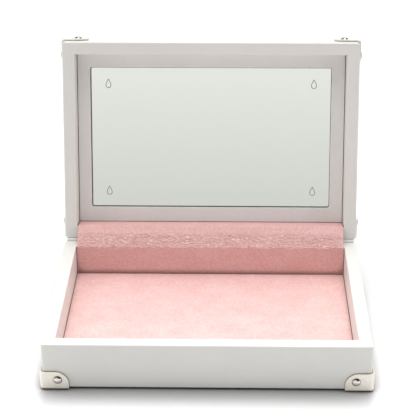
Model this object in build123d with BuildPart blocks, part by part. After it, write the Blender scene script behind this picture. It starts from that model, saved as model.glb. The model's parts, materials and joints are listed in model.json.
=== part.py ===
from build123d import *
import os
from math import cos, radians, sin

# Travel jewelry case: two leather-covered wooden trays, hinged along the back by a soft leather strip and a
# microsuede gusset. The base holds a padded floor and the lid holds a mirror. Millimetres.
# +X is to the right, -Y is the front, +Z is up. The origin lies on the surface that the case stands on,
# under the middle of the base. The lid is modelled open, leaning back against its gusset.

# Trays
width = 240.0
depth = 161.5
base_height = 36.0
lid_height = 24.0
corner_radius = 2.0
closed_edge_radius = 0.8
rim_radius = 0.9

# Leather and boards
leather = 1.0
board = 8.0
base_plate = 4.0
lid_plate = 3.0

# Corner guards and their nails
guard_proud = 1.8
guard_width = 21.2
guard_height = 15.2
guard_bend_radius = 2.6
guard_leaf_radius = 10.0
guard_edge_radius = 0.5
nail_from_side = 13.2
nail_from_edge = 9.0
nail_head_radius = 3.1
nail_head_edge = 0.35
nail_head_height = 1.5
nail_shank_radius = 0.8
nail_bore_radius = 0.82
nail_length = 7.8

# Hinge
open_angle = 105.0
rim_gap = 1.4
strip_thickness = 2.0
strip_length = 237.0
strip_leaf_height = 8.2
strip_leaf_start = 1.1
strip_edge_radius = 0.6
strip_fold_radius = 0.9

# Linings
lining_width = 218.6
lining_thickness = 0.6
lining_glue_gap = 0.05
floor_depth = 23.6
floor_lining = 1.0
pad_clearance = 0.3

# Mirror and its mat
mat_depth = 16.6
mat_edge_radius = 0.5
mirror_width = 197.0
mirror_height = 115.6
mirror_offset = (0.0, 1.15)
mirror_depth = 17.4
mirror_thickness = 1.8
mirror_corner_radius = 1.6
mirror_bevel = 0.3
mat_opening_width = 197.9
mat_opening_height = 116.5
mat_opening_offset = (0.25, 0.85)
mat_opening_radius = 1.8

# Closing magnets
magnet_radius = 4.0
magnet_thickness = 3.0
magnet_clearance = 0.05
magnet_spacing = 120.0

# Derived sizes
wall = board + 2 * leather
inner_width = width - 2 * wall
inner_depth = depth - 2 * wall
board_outer_width = width - 2 * leather
board_outer_depth = depth - 2 * leather
board_inner_width = inner_width + 2 * leather
board_inner_depth = inner_depth + 2 * leather
base_wall_depth = base_height - leather - base_plate
lid_wall_depth = lid_height - leather - lid_plate
hinge_y = depth / 2 + strip_thickness / 2
hinge_z = guard_proud + base_height + rim_gap / 2
lining_face = inner_depth / 2 - lining_glue_gap - lining_thickness
pad_width = inner_width - 2 * pad_clearance
pad_front = inner_depth / 2 - pad_clearance
pad_back = lining_face - pad_clearance
pad_depth = pad_front + pad_back
pad_centre = (pad_front - pad_back) / 2

# Each tray is drawn on its own rim plane: Z runs from the rim into the tray, and -Y points at the hinge.
lid_rim_y = hinge_y - hinge_y * cos(radians(open_angle)) + rim_gap / 2 * sin(radians(open_angle))
lid_rim_z = hinge_z + hinge_y * sin(radians(open_angle)) + rim_gap / 2 * cos(radians(open_angle))
lid_out = (0, sin(radians(open_angle)), cos(radians(open_angle)))
base_rim = Plane(origin=(0, 0, guard_proud + base_height), x_dir=(1, 0, 0), z_dir=(0, 0, -1))
lid_rim = Plane(origin=(0, lid_rim_y, lid_rim_z), x_dir=(-1, 0, 0), z_dir=lid_out)


def corner_planes(rim, height):
    """A plane at each corner of a tray's closed face, with X and Y pointing out of the two walls."""
    half_w = width / 2
    half_d = depth / 2
    corners = [
        (half_w, half_d, rim.x_dir),
        (-half_w, half_d, rim.y_dir),
        (-half_w, -half_d, -rim.x_dir),
        (half_w, -half_d, -rim.y_dir),
    ]
    return [
        Plane(rim.from_local_coords((x, y, height)), x_dir=out, z_dir=rim.z_dir)
        for x, y, out in corners
    ]


def nail_planes(corner):
    """The planes of the two nails of one guard, on its outer faces, with Z pointing out."""
    along = guard_proud - nail_from_side
    up = guard_proud - nail_from_edge
    return [
        Plane(corner.from_local_coords((guard_proud, along, up)), x_dir=corner.z_dir, z_dir=corner.x_dir),
        Plane(corner.from_local_coords((along, guard_proud, up)), x_dir=corner.z_dir, z_dir=corner.y_dir),
    ]


base_corners = corner_planes(base_rim, base_height)
lid_corners = corner_planes(lid_rim, lid_height)
base_nails = [plane for corner in base_corners for plane in nail_planes(corner)]
lid_nails = [plane for corner in lid_corners for plane in nail_planes(corner)]


def tray_leather(rim, height, wall_depth, nails):
    """The leather over a tray's walls: outside, over the rim and down the inside, as one skin."""
    closed_side = Axis(rim.origin, rim.z_dir)
    with BuildPart() as skin:
        with BuildSketch(rim) as outline:
            Rectangle(width, depth)
            fillet(outline.vertices(), corner_radius)
        extrude(amount=height)
        fillet(skin.faces().sort_by(closed_side)[-1].edges(), closed_edge_radius)
        with BuildSketch(rim):
            Rectangle(inner_width, inner_depth)
        extrude(amount=height, mode=Mode.SUBTRACT)
        fillet(skin.faces().sort_by(closed_side)[0].edges(), rim_radius)
        with BuildSketch(rim.offset(leather)):
            Rectangle(board_outer_width, board_outer_depth)
            Rectangle(board_inner_width, board_inner_depth, mode=Mode.SUBTRACT)
        extrude(amount=wall_depth - leather, mode=Mode.SUBTRACT)
        with BuildSketch(rim.offset(wall_depth)):
            Rectangle(board_outer_width, board_outer_depth)
        extrude(amount=height - wall_depth, mode=Mode.SUBTRACT)
        for plane in nails:
            with BuildSketch(plane):
                Circle(nail_bore_radius)
            extrude(amount=-nail_length, mode=Mode.SUBTRACT)
    return skin


def wall_board(rim, wall_depth, outline, nails, magnets=False):
    """One mitred wall board, bored for the nails of its guards and, in front, for the magnets."""
    with BuildPart() as wood:
        with BuildSketch(rim.offset(leather)):
            with BuildLine():
                Polyline(*outline, close=True)
            make_face()
        extrude(amount=wall_depth - leather)
        for plane in nails:
            with BuildSketch(plane):
                Circle(nail_bore_radius)
            extrude(amount=-nail_length, mode=Mode.SUBTRACT)
        if magnets:
            with BuildSketch(rim.offset(leather)):
                with Locations(*magnet_centres):
                    Circle(magnet_radius + magnet_clearance)
            extrude(amount=magnet_thickness, mode=Mode.SUBTRACT)
    return wood


def slab(rim, start, thickness, size, centre=(0, 0)):
    """A rectangular sheet or board that lies parallel to the rim."""
    with BuildPart() as sheet:
        with BuildSketch(rim.offset(start)):
            with Locations(centre):
                Rectangle(*size)
        extrude(amount=thickness)
    return sheet


def closed_panel(rim, height):
    """The leather panel on a tray's closed face, with a softened edge inside the wall leather."""
    closed_side = Axis(rim.origin, rim.z_dir)
    with BuildPart() as panel:
        with BuildSketch(rim.offset(height - leather)):
            Rectangle(board_outer_width, board_outer_depth)
        extrude(amount=leather)
        fillet(panel.faces().sort_by(closed_side)[-1].edges(), closed_edge_radius / 2)
    return panel


def magnets(rim):
    """Two disc magnets in the front wall, just under the rim leather."""
    with BuildPart() as discs:
        with BuildSketch(rim.offset(leather)):
            with Locations(*magnet_centres):
                Circle(magnet_radius)
        extrude(amount=magnet_thickness)
    return discs


def back_lining(rim, wall_depth):
    """The microsuede glued to the inside of the hinge-side wall."""
    with BuildPart() as sheet:
        with BuildSketch(rim.offset(rim_radius)):
            with Locations((0, -(lining_face + lining_thickness / 2))):
                Rectangle(lining_width, lining_thickness)
        extrude(amount=wall_depth - rim_radius)
    return sheet


def strip_leaf(rim):
    """One glued leaf of the outer hinge strip, on the back face of a tray."""
    outside = Axis(rim.origin, -rim.y_dir)
    with BuildPart() as leaf:
        with BuildSketch(rim.offset(strip_leaf_start)):
            with Locations((0, -(depth + strip_thickness) / 2)):
                Rectangle(strip_length, strip_thickness)
        extrude(amount=strip_leaf_height)
        fillet(leaf.faces().sort_by(outside)[-1].edges(), strip_edge_radius)
    return leaf


# One guard, drawn at a case corner that points along +X, +Y and +Z.
with BuildPart() as case_corner:
    with BuildSketch(Plane.XY.offset(-guard_height)):
        with Locations((-guard_width / 2, -guard_width / 2)):
            Rectangle(guard_width, guard_width)
    extrude(amount=guard_height)
    fillet(case_corner.edges().filter_by(Axis.Z).sort_by(Axis((0, 0, 0), (1, 1, 0)))[-1], corner_radius)
    fillet(
        [
            edge
            for edge in case_corner.faces().sort_by(Axis.Z)[-1].edges()
            if edge.center().X + edge.center().Y > -guard_width
        ],
        closed_edge_radius,
    )

guard_centre = guard_proud - guard_width / 2
guard_end = guard_proud - guard_width
guard_top = guard_proud - guard_height
with BuildPart() as guard_pattern:
    with BuildSketch(Plane.XY.offset(guard_top)):
        with Locations((guard_centre, guard_centre)):
            Rectangle(guard_width, guard_width)
    extrude(amount=guard_height)
    outer_corner = guard_pattern.vertices().sort_by(Axis((0, 0, 0), (1, 1, 1)))[-1]
    fillet(
        [edge for edge in guard_pattern.edges() if edge.distance_to(outer_corner) < guard_edge_radius],
        guard_bend_radius,
    )
    add(case_corner.part, mode=Mode.SUBTRACT)
    with BuildSketch(Plane.YZ):
        with Locations((guard_end + guard_leaf_radius / 2, guard_top + guard_leaf_radius / 2)):
            Rectangle(guard_leaf_radius, guard_leaf_radius)
        with Locations((guard_end + guard_leaf_radius, guard_top + guard_leaf_radius)):
            Circle(guard_leaf_radius, mode=Mode.SUBTRACT)
    extrude(amount=guard_proud, mode=Mode.SUBTRACT)
    with BuildSketch(Plane.XZ):
        with Locations((guard_end + guard_leaf_radius / 2, guard_top + guard_leaf_radius / 2)):
            Rectangle(guard_leaf_radius, guard_leaf_radius)
        with Locations((guard_end + guard_leaf_radius, guard_top + guard_leaf_radius)):
            Circle(guard_leaf_radius, mode=Mode.SUBTRACT)
    extrude(amount=-guard_proud, mode=Mode.SUBTRACT)
    with BuildSketch(Plane.XY):
        with Locations((guard_end + guard_leaf_radius / 2, guard_end + guard_leaf_radius / 2)):
            Rectangle(guard_leaf_radius, guard_leaf_radius)
        with Locations((guard_end + guard_leaf_radius, guard_end + guard_leaf_radius)):
            Circle(guard_leaf_radius, mode=Mode.SUBTRACT)
    extrude(amount=guard_proud, mode=Mode.SUBTRACT)
    sheet_ends = [
        face
        for face in guard_pattern.faces()
        if face.distance_to(case_corner.part) < guard_edge_radius / 10
        and Vertex(face.position_at(0.5, 0.5)).distance_to(case_corner.part) > guard_proud / 4
    ]
    outline_edges = [
        edge
        for face in sheet_ends
        for edge in face.edges()
        if edge.distance_to(case_corner.part) > guard_proud * 0.9
    ]
    fillet(outline_edges, guard_edge_radius)
    for plane in nail_planes(Plane.XY):
        with BuildSketch(plane):
            Circle(nail_bore_radius)
        extrude(amount=-nail_length, mode=Mode.SUBTRACT)

# One domed nail, with its shank along -Z and the underside of its head at Z = 0.
dome_rise = nail_head_height - nail_head_edge
dome_radius = (nail_head_radius**2 + dome_rise**2) / (2 * dome_rise)
with BuildPart() as nail_pattern:
    with BuildSketch(Plane.XZ):
        with BuildLine():
            Polyline(
                (0, nail_head_height),
                (0, -nail_length),
                (nail_shank_radius, -nail_length),
                (nail_shank_radius, 0),
                (nail_head_radius, 0),
                (nail_head_radius, nail_head_edge),
            )
            RadiusArc((nail_head_radius, nail_head_edge), (0, nail_head_height), -dome_radius)
        make_face()
    revolve(axis=Axis.Z)


def corner_guard(corner):
    """The guard, moved to one corner of a tray."""
    with BuildPart() as guard:
        add(guard_pattern.part.moved(corner.location))
    return guard


def guard_nails(nails):
    """All the nails of one tray's guards."""
    with BuildPart() as group:
        for plane in nails:
            add(nail_pattern.part.moved(plane.location))
    return group


# Mitred outlines of the four wall boards, on the rim plane.
outer_x = board_outer_width / 2
outer_y = board_outer_depth / 2
inner_x = board_inner_width / 2
inner_y = board_inner_depth / 2
hinge_side = [(-outer_x, -outer_y), (outer_x, -outer_y), (inner_x, -inner_y), (-inner_x, -inner_y)]
front_side = [(-outer_x, outer_y), (outer_x, outer_y), (inner_x, inner_y), (-inner_x, inner_y)]
minus_x_side = [(-outer_x, -outer_y), (-outer_x, outer_y), (-inner_x, inner_y), (-inner_x, -inner_y)]
plus_x_side = [(outer_x, -outer_y), (outer_x, outer_y), (inner_x, inner_y), (inner_x, -inner_y)]
magnet_centres = [
    (-magnet_spacing / 2, (outer_y + inner_y) / 2),
    (magnet_spacing / 2, (outer_y + inner_y) / 2),
]

# Base tray
base_leather_wrap = tray_leather(base_rim, base_height, base_wall_depth, base_nails)
base_underside_panel = closed_panel(base_rim, base_height)
base_floor_board = slab(base_rim, base_wall_depth, base_plate, (board_outer_width, board_outer_depth))
base_front_board = wall_board(base_rim, base_wall_depth, front_side, base_nails, magnets=True)
base_back_board = wall_board(base_rim, base_wall_depth, hinge_side, base_nails)
base_left_board = wall_board(base_rim, base_wall_depth, minus_x_side, base_nails)
base_right_board = wall_board(base_rim, base_wall_depth, plus_x_side, base_nails)
base_magnets = magnets(base_rim)
base_floor_foam = slab(
    base_rim,
    floor_depth + floor_lining,
    base_wall_depth - floor_depth - floor_lining,
    (pad_width, pad_depth),
    (0, pad_centre),
)
base_floor_lining = slab(base_rim, floor_depth, floor_lining, (pad_width, pad_depth), (0, pad_centre))
base_back_lining = back_lining(base_rim, base_wall_depth)
base_guard_front_right = corner_guard(base_corners[0])
base_guard_front_left = corner_guard(base_corners[1])
base_guard_back_left = corner_guard(base_corners[2])
base_guard_back_right = corner_guard(base_corners[3])
base_guard_nails = guard_nails(base_nails)

# Lid tray
lid_leather_wrap = tray_leather(lid_rim, lid_height, lid_wall_depth, lid_nails)
lid_top_panel = closed_panel(lid_rim, lid_height)
lid_top_board = slab(lid_rim, lid_wall_depth, lid_plate, (board_outer_width, board_outer_depth))
lid_front_board = wall_board(lid_rim, lid_wall_depth, front_side, lid_nails, magnets=True)
lid_back_board = wall_board(lid_rim, lid_wall_depth, hinge_side, lid_nails)
lid_left_board = wall_board(lid_rim, lid_wall_depth, plus_x_side, lid_nails)
lid_right_board = wall_board(lid_rim, lid_wall_depth, minus_x_side, lid_nails)
lid_magnets = magnets(lid_rim)
lid_back_lining = back_lining(lid_rim, lid_wall_depth)
lid_guard_front_left = corner_guard(lid_corners[0])
lid_guard_front_right = corner_guard(lid_corners[1])
lid_guard_back_right = corner_guard(lid_corners[2])
lid_guard_back_left = corner_guard(lid_corners[3])
lid_guard_nails = guard_nails(lid_nails)

# Mirror, set in a leather-covered mat whose opening is a little wider on two sides
with BuildPart() as lid_mat:
    with BuildSketch(lid_rim.offset(mat_depth)):
        with Locations((0, pad_centre)):
            Rectangle(pad_width, pad_depth)
    extrude(amount=lid_wall_depth - mat_depth)
    with BuildSketch(lid_rim.offset(mat_depth)):
        with Locations(mat_opening_offset):
            RectangleRounded(mat_opening_width, mat_opening_height, mat_opening_radius)
    extrude(amount=lid_wall_depth - mat_depth, mode=Mode.SUBTRACT)
    fillet(lid_mat.faces().sort_by(Axis(lid_rim.origin, lid_rim.z_dir))[0].edges(), mat_edge_radius)

with BuildPart() as mirror_glass:
    with BuildSketch(lid_rim.offset(mirror_depth)):
        with Locations(mirror_offset):
            RectangleRounded(mirror_width, mirror_height, mirror_corner_radius)
    extrude(amount=mirror_thickness)
    chamfer(mirror_glass.faces().sort_by(Axis(lid_rim.origin, lid_rim.z_dir))[0].edges(), mirror_bevel)

mirror_backing = slab(
    lid_rim,
    mirror_depth + mirror_thickness,
    lid_wall_depth - mirror_depth - mirror_thickness,
    (mirror_width - 2 * mirror_corner_radius, mirror_height - 2 * mirror_corner_radius),
    mirror_offset,
)

# Soft hinge: a leather strip across the back, folding about the hinge axis, and a gusset inside.
hinge_strip_base = strip_leaf(base_rim)
hinge_strip_lid = strip_leaf(lid_rim)
with BuildPart() as hinge_strip_fold:
    with BuildSketch(Plane.YZ):
        with Locations((hinge_y, hinge_z)):
            Circle(strip_fold_radius)
    extrude(amount=strip_length / 2, both=True)

base_bend = base_rim.from_local_coords((0, -inner_depth / 2 - rim_radius, rim_radius))
lid_bend = lid_rim.from_local_coords((0, -inner_depth / 2 - rim_radius, rim_radius))
near_radius = rim_radius + lining_glue_gap
far_radius = near_radius + lining_thickness
half_turn = open_angle / 2
with BuildPart() as hinge_gusset:
    with BuildSketch(Plane.YZ):
        with BuildLine():
            near_base = CenterArc((base_bend.Y, base_bend.Z), near_radius, 180, -half_turn)
            near_lid = CenterArc((lid_bend.Y, lid_bend.Z), near_radius, 180 - half_turn, -half_turn)
            far_base = CenterArc((base_bend.Y, base_bend.Z), far_radius, 180, -half_turn)
            far_lid = CenterArc((lid_bend.Y, lid_bend.Z), far_radius, 180 - half_turn, -half_turn)
            Line(near_base @ 1, near_lid @ 0)
            Line(far_base @ 1, far_lid @ 0)
            Line(near_base @ 0, far_base @ 0)
            Line(near_lid @ 1, far_lid @ 1)
        make_face()
    extrude(amount=lining_width / 2, both=True)

pieces = {
    "base_leather_wrap": base_leather_wrap,
    "base_underside_panel": base_underside_panel,
    "base_floor_board": base_floor_board,
    "base_front_board": base_front_board,
    "base_back_board": base_back_board,
    "base_left_board": base_left_board,
    "base_right_board": base_right_board,
    "base_magnets": base_magnets,
    "base_floor_foam": base_floor_foam,
    "base_floor_lining": base_floor_lining,
    "base_back_lining": base_back_lining,
    "base_guard_front_left": base_guard_front_left,
    "base_guard_front_right": base_guard_front_right,
    "base_guard_back_left": base_guard_back_left,
    "base_guard_back_right": base_guard_back_right,
    "base_guard_nails": base_guard_nails,
    "lid_leather_wrap": lid_leather_wrap,
    "lid_top_panel": lid_top_panel,
    "lid_top_board": lid_top_board,
    "lid_front_board": lid_front_board,
    "lid_back_board": lid_back_board,
    "lid_left_board": lid_left_board,
    "lid_right_board": lid_right_board,
    "lid_magnets": lid_magnets,
    "lid_back_lining": lid_back_lining,
    "lid_mat": lid_mat,
    "mirror_glass": mirror_glass,
    "mirror_backing": mirror_backing,
    "lid_guard_front_left": lid_guard_front_left,
    "lid_guard_front_right": lid_guard_front_right,
    "lid_guard_back_left": lid_guard_back_left,
    "lid_guard_back_right": lid_guard_back_right,
    "lid_guard_nails": lid_guard_nails,
    "hinge_strip_base": hinge_strip_base,
    "hinge_strip_lid": hinge_strip_lid,
    "hinge_strip_fold": hinge_strip_fold,
    "hinge_gusset": hinge_gusset,
}

os.makedirs("parts", exist_ok=True)
for name, piece in pieces.items():
    piece.part.label = name
    export_step(piece.part, f"parts/{name}.step")
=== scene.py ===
"""Travel jewelry case: a white leather case with a pink microsuede lining, made up around its CAD frame."""

import json
import math

import bpy
import numpy as np
from mathutils import Matrix, Vector, noise


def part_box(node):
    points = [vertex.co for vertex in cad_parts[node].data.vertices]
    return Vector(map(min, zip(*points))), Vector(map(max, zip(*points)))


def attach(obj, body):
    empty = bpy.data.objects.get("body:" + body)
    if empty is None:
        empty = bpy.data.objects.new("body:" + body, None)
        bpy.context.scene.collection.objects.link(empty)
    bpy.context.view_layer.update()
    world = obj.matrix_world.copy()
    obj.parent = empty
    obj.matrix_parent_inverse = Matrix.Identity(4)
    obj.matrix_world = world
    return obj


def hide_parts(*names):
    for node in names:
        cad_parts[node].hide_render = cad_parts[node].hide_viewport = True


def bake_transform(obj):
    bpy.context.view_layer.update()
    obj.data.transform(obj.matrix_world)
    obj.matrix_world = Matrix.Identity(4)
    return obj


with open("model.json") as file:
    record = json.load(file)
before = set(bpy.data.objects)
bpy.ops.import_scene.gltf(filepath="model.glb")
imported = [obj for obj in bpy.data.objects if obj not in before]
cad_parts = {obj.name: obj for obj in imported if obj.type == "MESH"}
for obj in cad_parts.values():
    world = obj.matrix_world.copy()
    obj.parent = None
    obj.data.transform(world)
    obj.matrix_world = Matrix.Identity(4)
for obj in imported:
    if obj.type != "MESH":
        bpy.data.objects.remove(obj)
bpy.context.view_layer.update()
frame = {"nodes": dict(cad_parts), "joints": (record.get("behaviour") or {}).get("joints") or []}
nodes = frame["nodes"]
joint = frame["joints"][0]

MM = 0.001

# The hinge and the rim, read from the frame. "Closed" places are where a lid point is when the case is shut.
HINGE = Vector(joint["pos_m"])
OPEN_ANGLE = math.radians(joint["range_deg"][1])
LID_FRONT = Vector((0, -math.sin(OPEN_ANGLE), -math.cos(OPEN_ANGLE)))
LID_UP = Vector((0, -math.cos(OPEN_ANGLE), math.sin(OPEN_ANGLE)))
RIM_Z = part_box("base_leather_wrap")[1].z
HALF_GAP = HINGE.z - RIM_Z


def lid_place(x, y, depth):
    """Where a lid point lies in the open case, from its closed y and its depth behind the rim."""
    dy = y - HINGE.y
    dz = depth + HALF_GAP
    return Vector((x, HINGE.y + dy * math.cos(OPEN_ANGLE) + dz * math.sin(OPEN_ANGLE),
                   HINGE.z - dy * math.sin(OPEN_ANGLE) + dz * math.cos(OPEN_ANGLE)))


# ---------------------------------------------------------------- shader helpers

CREVICE_SAMPLES = 12
EDGE_SAMPLES = 4
PATTERN_SHIFT = (0.31, 0.17, 0.23)  # moves the patterns away from the origin, where they would be symmetric


def new_material(name):
    material = bpy.data.materials.new(name)
    material.use_nodes = True
    material.node_tree.nodes.clear()
    return material, material.node_tree


def set_or_link(tree, socket, value):
    if isinstance(value, bpy.types.NodeSocket):
        tree.links.new(value, socket)
    else:
        socket.default_value = value


def add(tree, kind, inputs=None, **settings):
    """Adds one shader node. Sockets in inputs are linked, and anything else is set."""
    made = tree.nodes.new("ShaderNode" + kind)
    for key, value in settings.items():
        setattr(made, key, value)
    for key, value in (inputs or {}).items():
        set_or_link(tree, made.inputs[key], value)
    return made


def rgb(tone, share=1.0):
    """A colour with its alpha, made darker or lighter by share."""
    return (*(min(1.0, c * share) for c in tone), 1.0)


def grey(value):
    return (value, value, value, 1.0)


def calc(tree, operation, a, b=0.0, clamp=False):
    return add(tree, "Math", {0: a, 1: b}, operation=operation, use_clamp=clamp).outputs[0]


def times(tree, a, b):
    return calc(tree, "MULTIPLY", a, b)


def weighed(tree, a, share_a, b, share_b):
    return calc(tree, "ADD", times(tree, a, share_a), times(tree, b, share_b))


def dot(tree, a, b):
    return add(tree, "VectorMath", {0: a, 1: b}, operation="DOT_PRODUCT").outputs["Value"]


def remap(tree, value, span, result=(0.0, 1.0)):
    """Takes value from one range to another, and holds it at both ends."""
    ends = {"From Min": span[0], "From Max": span[1], "To Min": result[0], "To Max": result[1]}
    return add(tree, "MapRange", {"Value": value, **ends}).outputs[0]


def blend_colours(tree, share, first, second):
    """The first colour where share is 0, and the second where it is 1."""
    made = add(tree, "Mix", data_type="RGBA")
    for index, value in ((0, share), (6, first), (7, second)):
        set_or_link(tree, made.inputs[index], value)
    return made.outputs[2]


def place(tree, on_uv=False, stretch=(1.0, 1.0, 1.0)):
    """Coordinates in metres that stay on the piece: its own, or its UV map where the piece bends."""
    source = add(tree, "TexCoord").outputs["UV" if on_uv else "Object"]
    return add(tree, "Mapping", {"Vector": source, "Location": PATTERN_SHIFT, "Scale": stretch}).outputs[0]


def noise_at(tree, where, scale, detail=2.0, roughness=0.5):
    """Noise from 0 to 1, with scale cells to the metre."""
    made = add(tree, "TexNoise", {"Vector": where, "Scale": scale, "Detail": detail, "Roughness": roughness})
    return made.outputs["Fac"]


def edge_mask(tree, radius, sharpest=0.8):
    """1 on edges sharper than radius, 0 on flat faces."""
    rounded = add(tree, "Bevel", {"Radius": radius}, samples=EDGE_SAMPLES).outputs[0]
    flat = add(tree, "NewGeometry").outputs["Normal"]
    return remap(tree, dot(tree, rounded, flat), (1.0, sharpest))


def crevice_mask(tree, reach, span, depth=1.0):
    """Up to depth where another face comes within reach, and 0 in the open."""
    near = add(tree, "AmbientOcclusion", {"Distance": reach}, samples=CREVICE_SAMPLES).outputs["AO"]
    return remap(tree, near, span, (depth, 0.0))


def bump(tree, strength, distance, height):
    return add(tree, "Bump", {"Strength": strength, "Distance": distance, "Height": height}).outputs[0]


def principled(tree, inputs):
    """Ends a material with one principled surface."""
    shader = add(tree, "BsdfPrincipled", inputs)
    add(tree, "OutputMaterial", {"Surface": shader.outputs[0]})


# ---------------------------------------------------------------- materials

WHITE = (0.83, 0.82, 0.785)
MAT_WHITE = (0.85, 0.86, 0.85)
GRAIN_VALLEY = (0.66, 0.62, 0.57)
RUBBED_EDGE_HIGHLIGHT = (0.96, 0.93, 0.91)
LEATHER_PAINTED_SHADE = (0.13, 0.12, 0.105)
PINK = (0.90, 0.555, 0.53)
PINK_BRUSHED = (0.95, 0.655, 0.63)
PAD_PINK = (0.86, 0.56, 0.53)
PAD_BRUSHED = (0.94, 0.68, 0.65)
KNIT_SHADE = (0.80, 0.63, 0.65)
SHEEN_PINK = (1.0, 0.80, 0.79)
GUARD_CREAM = (1.0, 0.93, 0.84)
GUARD_PAINTED_SHADE = (0.10, 0.085, 0.07)
NAIL_SILVER = (0.86, 0.83, 0.78)
NAIL_PAINTED_RING = (0.05, 0.042, 0.034)
MAGNET_GREY = (0.55, 0.55, 0.55)
SILVER = (0.90, 0.915, 0.885)
SILVER_HAZE = (0.915, 0.925, 0.90)
GLASS_EDGE = (0.20, 0.23, 0.19)
CREST = "crest"  # a point attribute: up to 1 on the crests of the crinkled suede, below 0 in its folds


def leather(name, tone, lines=0.7, on_uv=False):
    """Finely grained, satin white leather: pebbled cells, pores, rubbed edges lightened with a painted
    highlight, and painted shade in its crevices.
    """
    material, tree = new_material(name)
    where = place(tree, on_uv)
    wander = add(tree, "TexNoise", {"Vector": where, "Scale": 900.0, "Detail": 2.0}).outputs["Color"]
    bent = add(tree, "VectorMath", {0: wander, "Scale": 0.7 * MM}, operation="SCALE").outputs[0]
    grain_place = add(tree, "VectorMath", {0: where, 1: bent}, operation="ADD").outputs[0]
    cells = add(tree, "TexVoronoi", {"Vector": grain_place, "Scale": 1350.0}, feature="DISTANCE_TO_EDGE")
    valleys = remap(tree, cells.outputs["Distance"], (0.0, 0.32))
    pores = noise_at(tree, where, scale=4200.0, detail=3.0, roughness=0.6)

    patches = noise_at(tree, where, scale=16.0, detail=3.0)
    mottle = noise_at(tree, where, scale=140.0, detail=4.0, roughness=0.6)
    colour = blend_colours(tree, remap(tree, patches, (0.35, 0.7)), rgb(tone), rgb(tone, 0.965))
    colour = blend_colours(tree, remap(tree, mottle, (0.3, 0.75), (0.0, 0.35)), colour, rgb(tone, 0.93))
    colour = blend_colours(tree, remap(tree, valleys, (0.0, 0.5), (0.16, 0.0)), colour, rgb(GRAIN_VALLEY))
    scuffs = noise_at(tree, where, scale=260.0, detail=5.0, roughness=0.7)
    # Rubbed edges with a painted highlight: the rounded edges are lightened, broken up by scuffs; the same
    # mask roughens them
    edges = times(tree, edge_mask(tree, 1.3 * MM), remap(tree, scuffs, (0.5, 0.68), (0.25, 1.0)))
    colour = blend_colours(tree, times(tree, edges, 0.8), colour, rgb(RUBBED_EDGE_HIGHLIGHT))
    # Painted shade: the leather is darkened wherever another face comes close, in crevices and at joints
    dark = crevice_mask(tree, 1.4 * MM, (0.52, 0.76), lines)
    colour = blend_colours(tree, dark, colour, rgb(LEATHER_PAINTED_SHADE))

    satin = remap(tree, mottle, (0.25, 0.75), (0.40, 0.52))
    height = weighed(tree, valleys, 0.75, pores, 0.25)
    principled(tree, {
        "Base Color": colour, "Roughness": calc(tree, "ADD", satin, times(tree, edges, 0.12)),
        "Specular IOR Level": 0.42, "Coat Weight": 0.08, "Coat Roughness": 0.35,
        "Normal": bump(tree, 0.35, 0.12 * MM, height)})
    return material


def microsuede(name, tone, brushed, weave, shade, on_uv=False):
    """Short-napped synthetic suede: nap brushed in soft patches, fine fibres, a velvety edge sheen, painted
    highlights and shade on the crinkles, and painted shade in its corners.
    """
    material, tree = new_material(name)
    patches = noise_at(tree, place(tree, on_uv, (1.0, 1.5, 1.0)), scale=60.0, detail=4.0, roughness=0.55)
    flecks = noise_at(tree, place(tree, on_uv), scale=420.0, detail=5.0, roughness=0.65)
    fibres = noise_at(tree, place(tree, on_uv, (1.0, 0.55, 1.0)), scale=3600.0, detail=3.0, roughness=0.7)
    knit = noise_at(tree, place(tree, on_uv, (1.0, 0.7, 1.0)), scale=760.0, detail=3.0, roughness=0.6)
    nap = weighed(tree, patches, 0.5, flecks, 0.5)
    colour = blend_colours(tree, remap(tree, nap, (0.39, 0.61)), rgb(tone), rgb(brushed))
    colour = blend_colours(tree, remap(tree, fibres, (0.3, 0.7), (0.0, 0.35)), colour, rgb(tone, 0.86))
    between_loops = rgb([c * share for c, share in zip(tone, KNIT_SHADE)])
    colour = blend_colours(tree, remap(tree, knit, (0.34, 0.66), (weave, 0.0)), colour, between_loops)

    crest = add(tree, "Attribute", attribute_name=CREST).outputs["Fac"]
    # Painted highlight on the crinkle crests, and painted shade in their folds
    colour = blend_colours(tree, remap(tree, crest, (0.1, 0.8), (0.0, 0.62)), colour, rgb(brushed, 1.2))
    colour = blend_colours(tree, remap(tree, crest, (0.0, -0.7), (0.0, 0.32)), colour, rgb(tone, 0.74))
    # Painted shade where walls meet the floor and other faces come close
    dark = crevice_mask(tree, 6.0 * MM, (0.50, 0.84), shade)
    if on_uv:
        # Painted shade: only the lower wall, by the floor, is darkened in its corner, and the crinkles above
        # it stay clear
        along = add(tree, "SeparateXYZ", {"Vector": add(tree, "TexCoord").outputs["UV"]}).outputs["Y"]
        dark = times(tree, dark, remap(tree, along, (15.0 * MM, 19.0 * MM), (1.0, 0.2)))
    colour = blend_colours(tree, dark, colour, rgb(tone, 0.42))

    height = weighed(tree, fibres, 0.45, flecks, 0.55)
    principled(tree, {
        "Base Color": colour, "Roughness": remap(tree, flecks, (0.3, 0.7), (0.86, 1.0)),
        "Specular IOR Level": 0.12, "Sheen Weight": 0.25, "Sheen Roughness": 0.45,
        "Sheen Tint": rgb(SHEEN_PINK), "Normal": bump(tree, 0.55, 0.2 * MM, height)})
    return material


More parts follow.
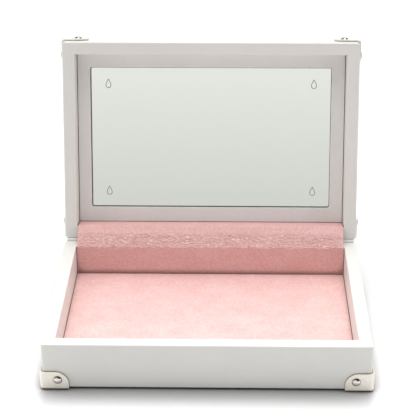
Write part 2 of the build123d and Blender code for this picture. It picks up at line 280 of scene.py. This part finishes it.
def satin_metal(name, tone, metallic, roughness, stroke, painted_shade):
    """Plated metal: fine brush strokes, soft smudges, bright worn edges, and painted shade in its corners."""
    material, tree = new_material(name)
    strokes = noise_at(tree, place(tree, stretch=stroke), scale=1.0, detail=4.0, roughness=0.6)
    smudge = noise_at(tree, place(tree), scale=180.0, detail=3.0)
    colour = blend_colours(tree, remap(tree, strokes, (0.3, 0.7), (0.0, 0.3)), rgb(tone), rgb(tone, 0.86))
    colour = blend_colours(tree, times(tree, edge_mask(tree, 0.5 * MM), 0.35), colour, rgb(tone, 1.09))
    # Painted shade: the metal is darkened where another face comes close, along its edges against the leather
    colour = blend_colours(tree, crevice_mask(tree, 2.6 * MM, (0.55, 0.92), painted_shade), colour, rgb(GUARD_PAINTED_SHADE))
    brushed = remap(tree, strokes, (0.3, 0.7), roughness)
    smudged = remap(tree, smudge, (0.4, 0.7), (0.0, 0.06))
    principled(tree, {
        "Base Color": colour, "Metallic": metallic, "Roughness": calc(tree, "ADD", brushed, smudged),
        "Normal": bump(tree, 0.12, 0.04 * MM, strokes)})
    return material


def polished_dome(name, tone, painted_ring):
    """A polished nail head: bright on its dome, with a painted dark ring of shade and dark reflection at its
    rim and where it meets the guard.
    """
    material, tree = new_material(name)
    smudge = noise_at(tree, place(tree), scale=700.0, detail=4.0, roughness=0.6)
    # Painted dark ring: shade and dark reflection painted at the dome's rim and against the guard, in colour
    # and in specular tint
    rim = edge_mask(tree, 1.4 * MM, 0.95)
    ring = calc(tree, "MAXIMUM", rim, crevice_mask(tree, 2.6 * MM, (0.55, 0.85)))
    colour = blend_colours(tree, remap(tree, smudge, (0.35, 0.65), (0.0, 0.35)), rgb(tone), rgb(tone, 0.8))
    colour = blend_colours(tree, times(tree, ring, 0.9), colour, rgb(painted_ring))
    polish = remap(tree, smudge, (0.3, 0.7), (0.04, 0.10))
    principled(tree, {
        "Base Color": colour, "Metallic": 1.0, "Roughness": calc(tree, "ADD", polish, times(tree, ring, 0.2)),
        "Specular Tint": blend_colours(tree, ring, grey(1.0), rgb(painted_ring))})
    return material


def mirror_silver(name, front):
    """A silvered mirror with a green-grey glass edge. Its face looks to the front, in the rest pose."""
    material, tree = new_material(name)
    facing = dot(tree, add(tree, "TexCoord").outputs["Normal"], front)
    edge = remap(tree, facing, (0.5, 0.2))
    haze = noise_at(tree, place(tree), scale=55.0, detail=4.0)
    tint = blend_colours(tree, haze, rgb(SILVER), rgb(SILVER_HAZE))
    principled(tree, {
        "Base Color": blend_colours(tree, edge, tint, rgb(GLASS_EDGE)),
        "Metallic": remap(tree, edge, (0.0, 1.0), (1.0, 0.35)), "Roughness": times(tree, edge, 0.2)})
    return material


def etched(name):
    """Frosted lines in the mirror."""
    material, tree = new_material(name)
    frost = noise_at(tree, place(tree), scale=3000.0, detail=3.0)
    principled(tree, {
        "Base Color": blend_colours(tree, frost, rgb((0.22, 0.22, 0.20)), rgb((0.32, 0.32, 0.30))),
        "Roughness": remap(tree, frost, (0.3, 0.7), (0.55, 0.8)),
        "Normal": bump(tree, 0.3, 0.05 * MM, frost)})
    return material


def wood(name):
    """Pale poplar board, for the parts that only show when the case is taken apart."""
    material, tree = new_material(name)
    rings = noise_at(tree, place(tree, stretch=(1.0, 14.0, 14.0)), scale=22.0, detail=5.0, roughness=0.6)
    fleck = noise_at(tree, place(tree, stretch=(1.0, 9.0, 9.0)), scale=320.0, detail=3.0)
    pale, dark, vessel = rgb((0.62, 0.46, 0.29)), rgb((0.46, 0.31, 0.18)), rgb((0.30, 0.19, 0.10))
    colour = blend_colours(tree, remap(tree, rings, (0.35, 0.65)), pale, dark)
    colour = blend_colours(tree, remap(tree, fleck, (0.5, 0.8), (0.0, 0.4)), colour, vessel)
    principled(tree, {
        "Base Color": colour, "Roughness": remap(tree, fleck, (0.3, 0.7), (0.55, 0.75)),
        "Normal": bump(tree, 0.3, 0.1 * MM, rings)})
    return material


def card(name):
    """Grey pressed card behind the mirror."""
    material, tree = new_material(name)
    pulp = noise_at(tree, place(tree), scale=900.0, detail=5.0, roughness=0.7)
    principled(tree, {
        "Base Color": blend_colours(tree, pulp, rgb((0.30, 0.29, 0.27)), rgb((0.42, 0.40, 0.37))),
        "Roughness": remap(tree, pulp, (0.3, 0.7), (0.8, 0.95)), "Normal": bump(tree, 0.4, 0.1 * MM, pulp)})
    return material


# lines sets how strong each leather's painted crevice shade is
white_leather = leather("white_leather_grain", WHITE)
mat_leather = leather("white_leather_mat", MAT_WHITE, lines=0.4)
strip_leather = leather("white_leather_strip", WHITE, lines=0.1, on_uv=True)
pad_suede = microsuede("pink_microsuede_nap", PAD_PINK, PAD_BRUSHED, weave=0.42, shade=0.3)
lining_suede = microsuede("pink_microsuede_lining", PINK, PINK_BRUSHED, weave=0.55, shade=0.8, on_uv=True)
guard_metal = satin_metal("guard_brushed_metal", GUARD_CREAM, metallic=0.3, roughness=(0.26, 0.36),
                          stroke=(60.0, 4200.0, 900.0), painted_shade=0.8)
nail_metal = polished_dome("nail_polished_metal", NAIL_SILVER, NAIL_PAINTED_RING)
magnet_metal = satin_metal("magnet_plated_metal", MAGNET_GREY, metallic=1.0, roughness=(0.25, 0.4),
                           stroke=(900.0, 900.0, 900.0), painted_shade=0.3)
mirror = mirror_silver("mirror_silvered_glass", LID_FRONT)
etched_line = etched("mirror_etched_line")
board_wood = wood("board_poplar")
backing_card = card("mirror_backing_card")

# The first word found in a node's name gives its finish
FINISHES = (
    ("leather_wrap", white_leather), ("panel", white_leather), ("mat", mat_leather), ("board", board_wood),
    ("nails", nail_metal), ("guard", guard_metal), ("magnets", magnet_metal), ("mirror_glass", mirror),
    ("mirror_backing", backing_card), ("hinge_strip", white_leather), ("lining", pad_suede),
    ("gusset", pad_suede), ("foam", pad_suede),
)


def finish_of(name):
    return next(material for word, material in FINISHES if word in name)


for name, thing in nodes.items():
    material = finish_of(name)
    if not thing.material_slots:
        thing.data.materials.append(material)
    for holder in thing.material_slots:
        holder.material = material


# ---------------------------------------------------------------- meshes

def mesh_object(name, points, faces, material, uvs=None):
    data = bpy.data.meshes.new(name)
    data.from_pydata([tuple(p) for p in points], [], [tuple(f) for f in faces])
    data.validate()
    if uvs is not None:
        layer = data.uv_layers.new(name="metres")
        loops = np.empty(len(data.loops), int)
        data.loops.foreach_get("vertex_index", loops)
        layer.data.foreach_set("uv", np.asarray(uvs, float)[loops].ravel())
    data.shade_smooth()
    data.materials.append(material)
    made = bpy.data.objects.new(name, data)
    bpy.context.scene.collection.objects.link(made)
    return made


def grid_faces(rows, columns, wrap_rows=False, first=0, flip=False):
    """Quads between neighbouring points of a grid stored row by row."""
    faces = []
    for r in range(rows if wrap_rows else rows - 1):
        for c in range(columns - 1):
            a = first + r * columns + c
            b = first + (r + 1) % rows * columns + c
            quad = (a, a + 1, b + 1, b)
            faces.append(quad[::-1] if flip else quad)
    return faces


def edge_faces(rows, columns):
    """Quads that close the four edges between two grids, the second stored straight after the first."""
    count = rows * columns
    last_column, last_row = columns - 1, (rows - 1) * columns
    sides = [(first, first + columns, turn) for start, turn in ((0, False), (last_column, True))
             for first in range(start, start + last_row, columns)]
    ends = [(first, first + 1, turn) for start, turn in ((0, True), (last_row, False))
            for first in range(start, start + last_column)]
    faces = []
    for a, b, turn in sides + ends:
        quad = (a, b, b + count, a + count)
        faces.append(quad[::-1] if turn else quad)
    return faces


def arc(centre, radius, start, end, steps):
    """Points (y, z) and outward angles along an arc, in degrees, without its first point."""
    found = []
    for i in range(1, steps + 1):
        angle = math.radians(start + (end - start) * i / steps)
        found.append((centre[0] + radius * math.cos(angle), centre[1] + radius * math.sin(angle), angle))
    return found


def run(begin, end, angle, steps):
    """Points (y, z) and the outward angle along a straight run, without its first point."""
    return [(begin[0] + (end[0] - begin[0]) * i / steps, begin[1] + (end[1] - begin[1]) * i / steps,
             math.radians(angle)) for i in range(1, steps + 1)]


def distances(path):
    """How far along the path each of its points lies."""
    steps = [math.hypot(b[0] - a[0], b[1] - a[1]) for a, b in zip(path, path[1:])]
    return np.concatenate([[0.0], np.cumsum(steps)])


def smooth_step(t):
    t = min(1.0, max(0.0, t))
    return t * t * (3 - 2 * t)


def round_off(distance, radius):
    """How far a rounded edge lies inside its sharp one, at a distance from the end."""
    if distance >= radius:
        return 0.0
    return radius - math.sqrt(max(0.0, radius ** 2 - (radius - distance) ** 2))


def pattern(x, y, layer):
    """Smooth noise, about -1 to 1. Each layer is a pattern of its own."""
    return noise.noise(Vector((x, y, layer)))


# Microsuede lining over both hinge-side walls, and the crinkled gusset between them, in one sheet
LINING_GLUE = 0.05 * MM
LINING_OVERLAP = RIM_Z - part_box("base_back_lining")[1].z
LID_LINING_DEPTH = 20.0 * MM
GUSSET_ANGLE = 180 - math.degrees(OPEN_ANGLE) / 2
LID_WALL_ANGLE = 180 - math.degrees(OPEN_ANGLE)
WALL_ROWS, BEND_ROWS, GUSSET_ROWS, LID_ROWS = 20, 7, 72, 16
LINING_COLUMNS = 340
WRINKLE_HEIGHT = 0.50 * MM
WRINKLE_START = -0.3 * MM
WRINKLE_RISE = 1.3 * MM
WRINKLE_WIDTH = 11.6 * MM
WRINKLE_FADE = 3.2 * MM
WRINKLE_SIDE_FADE = 2.5 * MM
WRINKLE_AT_SIDES = 0.35
GUSSET_PUFF = 0.35 * MM


def wrinkle(x, s):
    """Height of the crinkled suede, about -1 to 1, at a distance s up the gusset."""
    wx = x + 1.6 * MM * pattern(x / (7 * MM), s / (4 * MM), 3.1)
    ws = s + 0.9 * MM * pattern(x / (6 * MM), s / (3.5 * MM), 17.3)
    ridges = 1.0 - 8.0 * abs(pattern(wx / (4.0 * MM), ws / (1.25 * MM), 7.7))
    fine = pattern(wx / (2.2 * MM), ws / (0.66 * MM), 21.9)
    return max(-0.8, min(1.0, max(-0.5, ridges) + fine))


def lining_path(low, bend, base_centre, lid_centre):
    """The lining's section (y, z, outward angle): up the base's wall, over the gusset, up the lid's wall."""
    path = [(low.y, low.z, math.pi)]
    path += run((low.y, low.z), (low.y, base_centre[1]), 180, WALL_ROWS)
    path += arc(base_centre, bend, 180, GUSSET_ANGLE, BEND_ROWS)
    lid_bend_start = arc(lid_centre, bend, 180, GUSSET_ANGLE, 1)[0]
    path += run(path[-1], lid_bend_start, GUSSET_ANGLE, GUSSET_ROWS)
    path += arc(lid_centre, bend, GUSSET_ANGLE, LID_WALL_ANGLE, BEND_ROWS)
    path += run(path[-1], lid_place(0, low.y, LID_LINING_DEPTH).yz, LID_WALL_ANGLE, LID_ROWS)
    return path


def hinge_lining():
    low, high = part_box("base_back_lining")
    thickness = high.y - low.y
    bend = LINING_OVERLAP + LINING_GLUE + thickness
    base_centre = (low.y + bend, RIM_Z - LINING_OVERLAP)
    path = lining_path(low, bend, base_centre, lid_place(0, low.y + bend, LINING_OVERLAP).yz)
    lengths = distances(path)
    gusset_start = lengths[WALL_ROWS]
    gusset_length = lengths[WALL_ROWS + 2 * BEND_ROWS + GUSSET_ROWS] - gusset_start
    xs = np.linspace(low.x, high.x, LINING_COLUMNS)
    front, back, uvs, crests = [], [], [], []
    for (y, z, angle), length in zip(path, lengths):
        s = length - gusset_start
        t = s / gusset_length
        fade = 1 - smooth_step((s - WRINKLE_WIDTH) / WRINKLE_FADE)
        rough = smooth_step((s - WRINKLE_START) / WRINKLE_RISE) * fade
        puff = math.sin(math.pi * t) ** 2 if 0 < t < 1 else 0.0
        ny, nz = math.cos(angle), math.sin(angle)
        for x in xs:
            inward = smooth_step(min(x - low.x, high.x - x) / WRINKLE_SIDE_FADE)
            sway = pattern(x / (33 * MM), t, 5.5)
            lift = puff * GUSSET_PUFF * (0.6 + 1.2 * sway)
            crest = 0.0
            if rough > 0:
                strength = 0.95 + 0.1 * pattern(x / (16 * MM), s / (9 * MM), 40.1)
                strength *= WRINKLE_AT_SIDES + (1 - WRINKLE_AT_SIDES) * inward
                crest = rough * strength * wrinkle(x, s)
                lift += WRINKLE_HEIGHT * crest
            crests.append(crest)
            front.append((x, y + ny * lift, z + nz * lift))
            under = lift * 0.5 - thickness
            back.append((x, y + ny * under, z + nz * under))
            uvs.append((x, length))
    rows = len(path)
    faces = grid_faces(rows, LINING_COLUMNS, flip=True)
    faces += grid_faces(rows, LINING_COLUMNS, first=rows * LINING_COLUMNS)
    faces += edge_faces(rows, LINING_COLUMNS)
    made = mesh_object("hinge_lining", front + back, faces, lining_suede, uvs + uvs)
    layer = made.data.attributes.new(CREST, "FLOAT", "POINT")
    layer.data.foreach_set("value", np.array(crests + crests, np.float32))
    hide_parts("base_back_lining", "hinge_gusset", "lid_back_lining")
    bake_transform(made)


hinge_lining()


# Outer leather strip: two leaves glued to the trays' backs, and the fold between them
STRIP_EDGE_START = RIM_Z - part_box("hinge_strip_base")[1].z
STRIP_EDGE = 0.6 * MM
STRIP_THICKNESS = 2.0 * MM
STRIP_COLUMNS = 120
STRIP_BACK_UV = 0.05  # keeps the two faces' patterns apart
LEAF_ROWS, FOLD_ROWS = 16, 14
FOLD_BULGE = 0.45 * MM
FOLD_REACH = 1.0 * MM
FOLD_CREASE = 0.06 * MM
EDGE_STEPS = np.array([0, 0.03, 0.1, 0.2, 0.33, 0.47, 0.6]) * MM  # close points for the rounded edges


def hinge_strip():
    low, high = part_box("hinge_strip_base")
    leaf_top = RIM_Z - STRIP_EDGE_START
    lid_from = lid_place(0, HINGE.y, STRIP_EDGE_START).yz
    lid_to = lid_place(0, HINGE.y, STRIP_EDGE_START + (high.z - low.z)).yz
    radius = (HINGE.z - leaf_top) / math.tan(OPEN_ANGLE / 2)
    path = [(HINGE.y, low.z, math.pi)]
    path += run((HINGE.y, low.z), (HINGE.y, leaf_top), 180, LEAF_ROWS)
    path += arc((HINGE.y + radius, leaf_top), radius, 180, LID_WALL_ANGLE, FOLD_ROWS)
    path += run(lid_from, lid_to, LID_WALL_ANGLE, LEAF_ROWS)
    lengths = distances(path)
    middle_of_fold = (lengths[LEAF_ROWS] + lengths[LEAF_ROWS + FOLD_ROWS]) / 2
    middle = np.linspace(low.x + EDGE_STEPS[-1], high.x - EDGE_STEPS[-1], STRIP_COLUMNS)
    xs = np.concatenate([low.x + EDGE_STEPS[:-1], middle, high.x - EDGE_STEPS[-2::-1]])
    stops = np.unique(np.concatenate([lengths, EDGE_STEPS, lengths[-1] - EDGE_STEPS]))
    ys, zs, angles = (np.interp(stops, lengths, [p[i] for p in path]) for i in range(3))
    loops, uvs = [], []
    for side in (1, -1):
        order = range(len(stops)) if side == 1 else range(len(stops) - 1, -1, -1)
        for i in order:
            s = stops[i]
            by_fold = math.exp(-((s - middle_of_fold) / FOLD_REACH) ** 2)
            half = STRIP_THICKNESS / 2 + side * FOLD_BULGE * by_fold
            half -= round_off(min(s, stops[-1] - s), STRIP_EDGE)
            row = []
            for x in xs:
                inset = round_off(min(x - xs[0], xs[-1] - x), STRIP_EDGE)
                crease = FOLD_CREASE * by_fold * pattern(x / (2.4 * MM), s / (0.8 * MM), 9.4)
                out = side * (max(0.0, half - inset) + crease)
                row.append((x, ys[i] + math.cos(angles[i]) * out, zs[i] + math.sin(angles[i]) * out))
                uvs.append((x, s + (STRIP_BACK_UV if side == -1 else 0)))
            loops.append(row)
    rows, columns = len(loops), len(xs)
    faces = grid_faces(rows, columns, wrap_rows=True, flip=True)
    for c, turn in ((0, False), (columns - 1, True)):
        for i in range(len(stops) - 1):
            a, b = i * columns + c, (i + 1) * columns + c
            opposite_a, opposite_b = (rows - 1 - i) * columns + c, (rows - 2 - i) * columns + c
            quad = (a, b, opposite_b, opposite_a)
            faces.append(quad[::-1] if turn else quad)
    points = [p for row in loops for p in row]
    made = mesh_object("hinge_strip", points, faces, strip_leather, uvs)
    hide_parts("hinge_strip_base", "hinge_strip_fold", "hinge_strip_lid")
    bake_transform(made)


hinge_strip()


# Padded floor: microsuede pulled over foam and tucked down at the walls
PAD_EDGE = 2.2 * MM
PAD_SIDE_EDGE = 0.5 * MM
PAD_CROWN = 0.35 * MM
PAD_CROWN_RISE = 25 * MM
PAD_DENT = 0.10 * MM
PAD_PULL = 0.12 * MM
PAD_PULL_REACH = 4 * MM
PAD_STEP = 2.2 * MM
PAD_EDGE_STEPS = np.array([0, 0.06, 0.18, 0.36, 0.6, 0.9, 1.2, 1.6, 2.0, 3.0]) * MM


def pad_stops(a, b):
    """Places along one side of the pad, close together at both edges."""
    last = PAD_EDGE_STEPS[-1]
    middle = np.linspace(a + last, b - last, int(round((b - a) / PAD_STEP)))
    return np.concatenate([a + PAD_EDGE_STEPS[:-1], middle, b - PAD_EDGE_STEPS[-2::-1]])


def floor_pad():
    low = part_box("base_floor_foam")[0]
    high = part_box("base_floor_lining")[1]
    xs, ys = pad_stops(low.x, high.x), pad_stops(low.y, high.y)
    rows, columns = len(ys), len(xs)
    points = []
    for y in ys:
        for x in xs:
            side = min(x - low.x, high.x - x)
            end = min(y - low.y, high.y - y)
            drop = max(round_off(min(side, y - low.y), PAD_SIDE_EDGE), round_off(high.y - y, PAD_EDGE))
            crown = PAD_CROWN * smooth_step(side / PAD_CROWN_RISE) * smooth_step(end / PAD_CROWN_RISE)
            dent = PAD_DENT * pattern(x / (21 * MM), y / (17 * MM), 2.2)
            pull = PAD_PULL * pattern(x / (8 * MM), y / (8 * MM), 8.8)
            pull *= math.exp(-min(side, end) / PAD_PULL_REACH) * smooth_step(min(side, end) / MM)
            points.append((x, y, high.z - PAD_CROWN / 2 - drop + crown + dent + pull))
    faces = grid_faces(rows, columns)
    border = ([c for c in range(columns)] + [r * columns + columns - 1 for r in range(1, rows)]
              + [(rows - 1) * columns + c for c in range(columns - 2, -1, -1)]
              + [r * columns for r in range(rows - 2, 0, -1)])
    first = len(points)
    points += [(points[i][0], points[i][1], low.z) for i in border]
    for k in range(len(border)):
        n = (k + 1) % len(border)
        faces.append((border[n], border[k], first + k, first + n))
    faces.append(tuple(first + k for k in range(len(border) - 1, -1, -1)))
    made = mesh_object("floor_pad", points, faces, pad_suede)
    made.data.polygons[len(faces) - 1].use_smooth = False
    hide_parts("base_floor_foam", "base_floor_lining")
    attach(made, "base")


floor_pad()


# Four generic drop shapes etched in the corners of the mirror
MARK_HEIGHT = 7.2 * MM
MARK_FULLNESS = 0.80
MARK_POINT = 1.4
MARK_LINE = 0.52 * MM
MARK_INSET_X = 14.1 * MM
MARK_INSET_Y = 13.2 * MM
MARK_PROUD = 0.03 * MM
MARK_STEPS = 56
MARK_SECTION = ((-0.5, 0), (-0.5, 1), (0.5, 1), (0.5, 0))  # shares of the line's width and of its height


def drop_outline(grow):
    """A drop with its tip up, its line moved outwards by grow."""
    half = MARK_HEIGHT / 2
    angles = [2 * math.pi * (i + 0.5) / MARK_STEPS for i in range(MARK_STEPS)]
    line = [Vector((MARK_FULLNESS * half * math.sin(a) * math.sin(a / 2) ** MARK_POINT, half * math.cos(a)))
            for a in angles]
    moved = []
    for i, point in enumerate(line):
        along = (line[(i + 1) % MARK_STEPS] - line[i - 1]).normalized()
        moved.append(point + Vector((along.y, -along.x)) * -grow)
    return moved


def mark_faces():
    """Quads round the four rings of a mark's line."""
    faces = []
    for r in range(len(MARK_SECTION)):
        for k in range(MARK_STEPS):
            n = (k + 1) % MARK_STEPS
            s = (r + 1) % len(MARK_SECTION)
            faces.append((r * MARK_STEPS + k, r * MARK_STEPS + n, s * MARK_STEPS + n, s * MARK_STEPS + k))
    return faces


def mirror_marks():
    low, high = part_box("mirror_glass")
    middle = (low + high) / 2
    corners = [(v.co - middle) for v in nodes["mirror_glass"].data.vertices]
    front_at = max(corner.dot(LID_FRONT) for corner in corners)
    half_height = max(corner.dot(LID_UP) for corner in corners)
    half_width = (high.x - low.x) / 2
    for side, across in (("left", -1), ("right", 1)):
        for end, rise in (("top", 1), ("bottom", -1)):
            centre = middle + Vector((across * (half_width - MARK_INSET_X), 0, 0))
            centre += LID_UP * rise * (half_height - MARK_INSET_Y)
            points = []
            for width, proud in MARK_SECTION:
                base = centre + LID_FRONT * (front_at + proud * MARK_PROUD)
                points += [base + Vector((p.x, 0, 0)) + LID_UP * p.y for p in drop_outline(width * MARK_LINE)]
            made = mesh_object(f"mirror_mark_{end}_{side}", points, mark_faces(), etched_line)
            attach(made, "lid")


mirror_marks()


# ---------------------------------------------------------------- floor, light and camera

FLOOR_REACH = 3.0
GROUND = 0.82
# GROUND_SHADE and SHADE_REACH set the painted shadow's tone and reach
GROUND_SHADE = 0.35  # of the ground's own tone, under the case
SHADE_REACH = 32 * MM
CARD_LOW = (0.58, 0.585, 0.565)
CARD_HIGH = (0.86, 0.87, 0.84)
CARD_TOP = 0.16
DOME = ((0.0, 0.04), (0.22, 0.05), (0.5, 0.18), (1.0, 0.40))  # how high, and how bright there
REFLECTED_LOW = (0.50, 0.505, 0.49)
SOFTBOXES = ((-1, 1.10), (1, 1.05))  # left and right, and how bright
FLAGS = (
    # black flags that only the polished nails reflect: where, and the cosines where each begins and is full
    ((0.0, -0.866, 0.5), (0.975, 0.985)),
    ((0.50, -0.82, 0.28), (0.945, 0.955)),
)
FLAG_TONE = 0.02
BACKDROP = 0.95
LIGHTS = (
    # name, strength, width in degrees, and where it comes from
    ("left_light", 1.12, 50.0, (-0.42, 0.02, 1.0)),
    ("right_light", 0.94, 50.0, (0.36, 0.02, 1.0)),
    ("back_light", 1.4, 26.0, (0.03, 0.52, 1.0)),
)
CAMERA_AT = (0.01739, -0.90572, 0.55639)
CAMERA_YAW, CAMERA_PITCH, CAMERA_ROLL = (math.radians(a) for a in (-1.116, -26.307, -0.175))
CAMERA_LENS = 116.75


def ground():
    """A plain floor with a painted shadow close round the case, weaker beside it."""
    material, tree = new_material("stage_white")
    # Painted shadow: the floor is darkened by how near the case is, and lightened again beside it
    near = add(tree, "AmbientOcclusion", {"Distance": SHADE_REACH}, samples=16).outputs["AO"]
    across = add(tree, "SeparateXYZ", {"Vector": add(tree, "TexCoord").outputs["Object"]}).outputs["X"]
    beside = remap(tree, calc(tree, "ABSOLUTE", across), (0.117, 0.134), (0.0, 0.75))
    open_share = calc(tree, "ADD", remap(tree, near, (0.45, 1.0)), beside, clamp=True)
    tone = blend_colours(tree, open_share, grey(GROUND * GROUND_SHADE), grey(GROUND))
    principled(tree, {"Base Color": tone, "Roughness": 0.7, "Specular IOR Level": 0.2})
    corners = [(-1, -1), (1, -1), (1, 1), (-1, 1)]
    points = [(x * FLOOR_REACH, y * FLOOR_REACH, 0) for x, y in corners]
    mesh_object("studio_floor", points, [(0, 1, 2, 3)], material)


def ramp(tree, value, stops):
    made = add(tree, "ValToRGB", {"Fac": value})
    held = made.color_ramp.elements
    held[0].position, held[0].color = stops[0]
    held[1].position, held[1].color = stops[-1]
    for position, colour in stops[1:-1]:
        held.new(position).color = colour
    return made.outputs[0]


def sky():
    """A dim dome, a pale card in front of the case, a softbox at each side, and black flags by the camera."""
    world = bpy.data.worlds.new("studio_sky")
    bpy.context.scene.world = world
    world.use_nodes = True
    tree = world.node_tree
    tree.nodes.clear()
    way = add(tree, "TexCoord").outputs["Generated"]
    axes = add(tree, "SeparateXYZ", {"Vector": way}).outputs
    rays = add(tree, "LightPath").outputs

    # What the mirror and the polished metal see low down is lighter than what lights the case from there
    low_reflected = times(tree, rays["Is Glossy Ray"], remap(tree, axes["Z"], (0.15, 0.5), (1.0, 0.0)))
    dome = ramp(tree, axes["Z"], [(height, grey(tone)) for height, tone in DOME])
    dome = blend_colours(tree, low_reflected, dome, rgb(REFLECTED_LOW))
    front_card = ramp(tree, axes["Z"], [(0.0, rgb(CARD_LOW)), (CARD_TOP, rgb(CARD_HIGH))])
    ahead = dot(tree, way, (0, -1, 0))
    card_share = add(tree, "MapRange", {"Value": ahead, "From Min": 0.69, "From Max": 0.95},
                     interpolation_type="SMOOTHSTEP").outputs[0]
    card_share = times(tree, card_share, remap(tree, axes["Z"], (0.34, 0.62), (1.0, 0.0)))
    seen = blend_colours(tree, card_share, dome, front_card)
    for side, tone in SOFTBOXES:
        seen = blend_colours(tree, remap(tree, axes["X"], (side * 0.66, side * 0.84)), seen, grey(tone))
    not_mirrored = calc(tree, "SUBTRACT", 1.0, rays["Is Singular Ray"])
    for side, span in FLAGS:
        share = times(tree, remap(tree, dot(tree, way, side), span), not_mirrored)
        seen = blend_colours(tree, share, seen, grey(FLAG_TONE))
    seen = blend_colours(tree, rays["Is Camera Ray"], seen, grey(BACKDROP))
    backdrop = add(tree, "Background", {"Color": seen, "Strength": 1.0})
    add(tree, "OutputWorld", {"Surface": backdrop.outputs[0]})


def lights():
    for name, strength, width, way in LIGHTS:
        light = bpy.data.lights.new(name, "SUN")
        light.energy = strength
        light.angle = math.radians(width)
        lamp = bpy.data.objects.new(name, light)
        lamp.rotation_euler = Vector(way).to_track_quat("Z", "Y").to_euler()
        bpy.context.scene.collection.objects.link(lamp)


def camera():
    level = math.cos(CAMERA_PITCH)
    forward = Vector((math.sin(CAMERA_YAW) * level, math.cos(CAMERA_YAW) * level, math.sin(CAMERA_PITCH)))
    right = Vector((math.cos(CAMERA_YAW), -math.sin(CAMERA_YAW), 0))
    up = right.cross(forward)
    right_rolled = right * math.cos(CAMERA_ROLL) + up * math.sin(CAMERA_ROLL)
    up_rolled = up * math.cos(CAMERA_ROLL) - right * math.sin(CAMERA_ROLL)
    data = bpy.data.cameras.new("camera")
    data.sensor_width = 36.0
    data.lens = CAMERA_LENS
    data.clip_start = 0.01
    made = bpy.data.objects.new("camera", data)
    turn = Matrix((right_rolled, up_rolled, -forward)).transposed()
    made.matrix_world = Matrix.Translation(CAMERA_AT) @ turn.to_4x4()
    bpy.context.scene.collection.objects.link(made)
    bpy.context.scene.camera = made


ground()
sky()
lights()
camera()
bpy.context.scene.view_settings.view_transform = "Standard"
